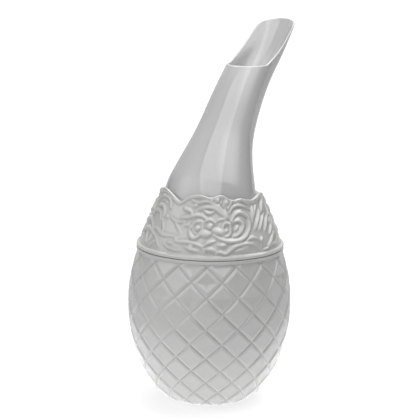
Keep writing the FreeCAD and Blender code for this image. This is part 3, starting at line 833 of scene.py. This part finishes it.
def cut_edge(inner):
    """(angle, length) along one side of the cut, from the top of the lip round to the tip."""
    profile, corner = scoop_profile()
    lengths = np.linspace(20, 99, 8000)      # the part of the bend that the cut can meet
    x, z, lean = neck_axis(lengths)
    gap = (profile[:, 0][:, None] - x) ** 2 + (profile[:, 1][:, None] - z) ** 2
    nearest = gap.argmin(axis=1)
    length = lengths[nearest]
    offset = ((profile[:, 0] - x[nearest]) * np.cos(lean[nearest])
              - (profile[:, 1] - z[nearest]) * np.sin(lean[nearest]))
    share = offset / neck_radius(length, inner)
    on_wall = share > -1
    start = int(np.argmax(on_wall))
    angle = np.arccos(np.clip(share, -1, 1))
    place = neck_point(angle, length, inner)
    end_x, end_z, end_lean = neck_axis(TIP_LENGTH)
    bow = (TIP_HALF_WIDTH ** 2 + TIP_SAG ** 2) / (2 * TIP_SAG)

    def past_tip(points):
        """How far points lie ahead of the tip's rounded end, seen from above the scoop."""
        aside, above = points[..., 0] - end_x, points[..., 2] - end_z
        ahead = aside * math.sin(end_lean) + above * math.cos(end_lean)
        wide = np.abs(points[..., 1])
        round_end = bow - np.sqrt(np.maximum(bow ** 2 - np.minimum(wide, TIP_HALF_WIDTH) ** 2, 0))
        sag = np.where(wide < TIP_HALF_WIDTH, round_end,
                       TIP_SAG + TIP_SIDE_SLOPE * (wide - TIP_HALF_WIDTH))
        return ahead + sag

    beyond = past_tip(place) > 0
    end = int(np.argmax(beyond & (np.arange(len(beyond)) > corner)))
    edge = np.column_stack([angle, length, place])
    lip = spaced(edge[start:corner + 1], LIP_COLUMNS)
    scoop = spaced(edge[corner:end + 1], SCOOP_COLUMNS)
    tip_angle = np.linspace(scoop[-1, 0], 0, 200)
    low = np.full(tip_angle.shape, 80.0)
    high = np.full(tip_angle.shape, 99.0)
    for _ in range(40):                      # halves the range until the cut's length is found
        middle = (low + high) / 2
        over = past_tip(neck_point(tip_angle, middle, inner)) > 0
        high = np.where(over, middle, high)
        low = np.where(over, low, middle)
    tip = spaced(np.column_stack([tip_angle, low, neck_point(tip_angle, low, inner)]), TIP_COLUMNS)
    return np.vstack([lip, scoop[1:], tip[1:]])[:, :2]


def round_corners(edge):
    """Both sides of the cut joined into a loop, with its corners eased, the tip's most of all."""
    other = edge[-2:0:-1] * np.array([-1, 1])
    loop = np.vstack([edge, other])
    from_tip = np.abs(np.arange(len(loop)) - (len(edge) - 1))
    fade_far = np.clip((TIP_EASE_FAR - from_tip) / TIP_EASE_FAR_FADE, 0, 1)
    fade_near = np.clip((from_tip - TIP_EASE_NEAR) / TIP_EASE_NEAR_FADE, 0, 1)
    corner_share = (fade_far * fade_near)[:, None]
    loop[:, 0] = np.unwrap(loop[:, 0])
    whole_turn = np.array([-2 * math.pi, 0.0])
    for step in range(EASE_PASSES + TIP_EASE_PASSES):
        before = np.vstack([loop[-1:] - whole_turn, loop[:-1]])
        after = np.vstack([loop[1:], loop[:1] + whole_turn])
        ease = 1.0 if step < EASE_PASSES else corner_share
        loop = loop + ease * (before + after - 2 * loop) / 4
    return loop


def edge_frame(loop, inner):
    """Place of the cut's edge and, in the wall's surface, the way back from it."""
    place = neck_point(loop[:, 0], loop[:, 1], inner)
    small = 1e-3
    around = (neck_point(loop[:, 0] + small, loop[:, 1], inner) - place) / small
    along = (neck_point(loop[:, 0], loop[:, 1] + small, inner) - place) / small
    run = np.roll(place, -1, 0) - np.roll(place, 1, 0)
    run /= np.linalg.norm(run, axis=1)[:, None]
    normal = np.cross(around, along)
    normal /= np.linalg.norm(normal, axis=1)[:, None]
    back = np.cross(run, normal)
    back *= np.where((back * along).sum(1) < 0, 1, -1)[:, None]
    return place, back, around, along


def drawn_back(loop, inner, distance):
    """The loop moved back from the cut by a distance in the wall's surface."""
    back, around, along = edge_frame(loop, inner)[1:]
    turn = (back * around).sum(1) / (around ** 2).sum(1)
    rise = (back * along).sum(1) / (along ** 2).sum(1)
    return loop + np.column_stack([turn, rise]) * distance[:, None]


def wall_rows(loop, inner, count):
    """Rows of wall points from the start of the bend up to a loop near the cut."""
    total = len(loop)
    root = loop[0, 0] - np.arange(total) * 2 * math.pi / total
    share = np.linspace(0, 1, count)[:, None]
    ease = share * share * (3 - 2 * share)
    angle = root + (loop[:, 0] - root) * ease
    length = share * loop[:, 1]
    return neck_point(angle, length, inner), root


def make_neck():
    """Root, outer wall, rolled edge of the cut, inner wall and bore as one closed skin."""
    outer_edge, inner_edge = round_corners(cut_edge(False)), round_corners(cut_edge(True))
    outer_place, outer_back = edge_frame(outer_edge, False)[:2]
    inner_place, inner_back = edge_frame(inner_edge, True)[:2]
    wall = np.linalg.norm(outer_place - inner_place, axis=1)
    outer, root = wall_rows(drawn_back(outer_edge, False, ROLL_SET_BACK * wall), False, OUTER_ROWS)
    inner = wall_rows(drawn_back(inner_edge, True, ROLL_SET_BACK * wall), True, INNER_ROWS)[0]
    share = np.clip((np.linspace(0, 1, INNER_ROWS) - THINNING_FROM) / (1 - THINNING_FROM), 0, 1)
    inner += (EDGE_THINNING * share ** 2)[:, None, None] * (outer[-1] - inner[-1])[None]

    def level_rings(places):
        """Level rows of points at (radius, height) places."""
        return np.array([round_axis(radius, root, height) for radius, height in places])

    low, high, depth = RING_GROOVE
    root_rows = level_rings(((ROOT_R - ROOT_CHAMFER, ROOT_LOW_Z), (ROOT_R, ROOT_LOW_Z + ROOT_CHAMFER),
                             (ROOT_R, low), (ROOT_R - depth, low), (ROOT_R - depth, high),
                             (ROOT_R, high), (ROOT_R, ROOT_HIGH_Z)))
    bore_rows = level_rings(((BORE_R, BORE_HIGH_Z), (BORE_R, ROOT_LOW_Z + BORE_CHAMFER),
                             (BORE_R + BORE_CHAMFER, ROOT_LOW_Z)))
    p0, p3 = outer[-1], inner[-1]
    reach = (ROLL_REACH * wall)[:, None]
    p1, p2 = p0 - outer_back * reach, p3 - inner_back * reach
    rolled = [(1 - t) ** 3 * p0 + 3 * t * (1 - t) ** 2 * p1 + 3 * t * t * (1 - t) * p2 + t ** 3 * p3
              for t in np.linspace(0, 1, ROLL_ROWS)[1:-1]]
    grid = np.concatenate([root_rows, outer, np.array(rolled), inner[::-1], bore_rows])
    return ring_mesh("neck_and_scoop", grid, join_ends=True)


neck_glaze = glazed_material("neck_glaze", colour=(0.50, 0.505, 0.50, 1), shade_colour=(0.43, 0.44, 0.42, 1),
                             mottle=0.02, ripple=0.5)
place_piece("neck_and_scoop", make_neck(), neck_glaze, "spout", "glazed_neck", "spout_shell")

# ---------------------------------------------------------------------------
# Floor, lights and camera: a white light table that glows round the foot, one large
# soft panel high on the camera's side, and a dim studio whose wide, soft glows show in
# the glaze. The camera looks down a little through a long lens.
# ---------------------------------------------------------------------------

CAMERA_PLACE = (-0.56267, -0.32543, 0.21384)
CAMERA_AWAY_DEG = 30.0
CAMERA_DOWN_DEG = 11.545
CAMERA_TURN_DEG = -0.064
CAMERA_ROLL_DEG = 0.8
CAMERA_LENS = 136.35
KEY_RISE_DEG, KEY_DISTANCE, KEY_SIZE, KEY_POWER = 50.0, 1.2, (1.17, 1.68), 8.7
KEY_AIM_Z = 0.09
TABLE_HALF = 12.0
TABLE_NEAR, TABLE_FAR, TABLE_GLOW = 0.04, 0.14, 0.89           # the glow fades out between the two
TABLE_SEEN_GLOW, BACKDROP_SEEN = 0.62, 1.0                     # what the camera sees as plain white
# Each glow: degrees to the right of the camera, degrees up, full and outer half width, strength
STUDIO_GLOWS = ((-100, 15, 10, 50, 0.30), (-60, 20, 5, 45, 1.15), (90, 58, 5, 38, 2.00),
                (180, 25, 5, 50, 0.74), (180, 65, 5, 38, 2.44))


def make_camera():
    """Aims the camera by its turn, its tilt down and its roll."""
    away = math.radians(CAMERA_AWAY_DEG)
    right = Vector((math.sin(away), -math.cos(away), 0))
    ahead = Vector((math.cos(away), math.sin(away), 0))
    down, turn = math.radians(CAMERA_DOWN_DEG), math.radians(CAMERA_TURN_DEG)
    look = (right * math.sin(turn) + ahead * math.cos(turn)) * math.cos(down)
    look.z -= math.sin(down)
    side = look.cross(Vector((0, 0, 1))).normalized()
    top = side.cross(look)
    roll = math.radians(CAMERA_ROLL_DEG)
    side_rolled = side * math.cos(roll) + top * math.sin(roll)
    top_rolled = top * math.cos(roll) - side * math.sin(roll)
    turned_to = Matrix((side_rolled, top_rolled, -look)).transposed().to_4x4()
    data = bpy.data.cameras.new("camera")
    data.sensor_width = 36.0
    data.lens = CAMERA_LENS
    data.clip_start = 0.01
    data.clip_end = 100.0
    camera = bpy.data.objects.new("camera", data)
    camera.matrix_world = Matrix.Translation(CAMERA_PLACE) @ turned_to
    bpy.context.scene.collection.objects.link(camera)
    bpy.context.scene.camera = camera


def direction(side, rise):
    """Points from the object to a side of the room: degrees to the right of the camera, and up."""
    turn, lift = math.radians(FRONT_DEG + side), math.radians(rise)
    return Vector((math.cos(turn) * math.cos(lift), math.sin(turn) * math.cos(lift), math.sin(lift)))


def make_key_panel():
    """The soft rectangular panel, high on the camera's side, faced to the object."""
    data = bpy.data.lights.new("key_panel", "AREA")
    data.shape = "RECTANGLE"
    data.size, data.size_y = KEY_SIZE
    data.energy = KEY_POWER
    panel = bpy.data.objects.new("key_panel", data)
    aside = direction(0, KEY_RISE_DEG)
    faced = aside.to_track_quat("Z", "Y").to_matrix().to_4x4()
    panel.matrix_world = Matrix.Translation(Vector((0, 0, KEY_AIM_Z)) + aside * KEY_DISTANCE) @ faced
    bpy.context.scene.collection.objects.link(panel)


def camera_sees(tree, shown, otherwise):
    """One number where the camera looks straight at it, and a socket's value for all other light."""
    rays = add_node(tree, "ShaderNodeLightPath")
    picker = add_node(tree, "ShaderNodeMix", {"data_type": "FLOAT"}, {3: shown})
    tree.links.new(rays.outputs["Is Camera Ray"], picker.inputs[0])
    tree.links.new(otherwise, picker.inputs[2])
    return picker.outputs[0]


def make_floor():
    """A white light table: it glows softly round the object and reads as plain white."""
    mesh = bpy.data.meshes.new("floor")
    corners = [(x * TABLE_HALF, y * TABLE_HALF, 0) for x, y in ((-1, -1), (1, -1), (1, 1), (-1, 1))]
    mesh.from_pydata(corners, [], [(0, 1, 2, 3)])
    floor = bpy.data.objects.new("floor", mesh)
    bpy.context.scene.collection.objects.link(floor)
    material = bpy.data.materials.new("pale_floor")
    material.use_nodes = True
    tree = material.node_tree
    shader = tree.nodes["Principled BSDF"]
    shader.inputs["Base Color"].default_value = (0.45, 0.45, 0.45, 1)
    shader.inputs["Roughness"].default_value = 0.9
    shader.inputs["Specular IOR Level"].default_value = 0.0
    shader.inputs["Emission Color"].default_value = (1, 1, 1, 1)
    reach = add_node(tree, "ShaderNodeVectorMath", {"operation": "LENGTH"})
    tree.links.new(add_node(tree, "ShaderNodeTexCoord").outputs["Object"], reach.inputs[0])
    table = spread(tree, reach.outputs["Value"], TABLE_NEAR, TABLE_FAR, TABLE_GLOW, 0.0)
    tree.links.new(camera_sees(tree, TABLE_SEEN_GLOW, table), shader.inputs["Emission Strength"])
    mesh.materials.append(material)


def make_world():
    """A dim studio with soft glows of reflected light, and plain white where the camera looks."""
    world = bpy.data.worlds.new("studio")
    bpy.context.scene.world = world
    world.use_nodes = True
    tree = world.node_tree
    back = tree.nodes["Background"]
    toward = add_node(tree, "ShaderNodeTexCoord").outputs["Generated"]
    total = 0.0
    for side, rise, inner, outer, strength in STUDIO_GLOWS:
        facing = add_node(tree, "ShaderNodeVectorMath", {"operation": "DOT_PRODUCT"},
                          {1: direction(side, rise)})
        tree.links.new(toward, facing.inputs[0])
        ranger = add_node(tree, "ShaderNodeMapRange", {"clamp": True, "interpolation_type": "SMOOTHSTEP"},
                          {"From Min": math.cos(math.radians(outer)),
                           "From Max": math.cos(math.radians(inner)), "To Max": strength})
        tree.links.new(facing.outputs["Value"], ranger.inputs["Value"])
        total = work_out(tree, "ADD", ranger.outputs["Result"], total)
    back.inputs["Color"].default_value = (1, 1, 1, 1)
    tree.links.new(camera_sees(tree, BACKDROP_SEEN, total), back.inputs["Strength"])


make_camera()
make_floor()
make_world()
make_key_panel()
bpy.context.scene.view_settings.view_transform = "Standard"
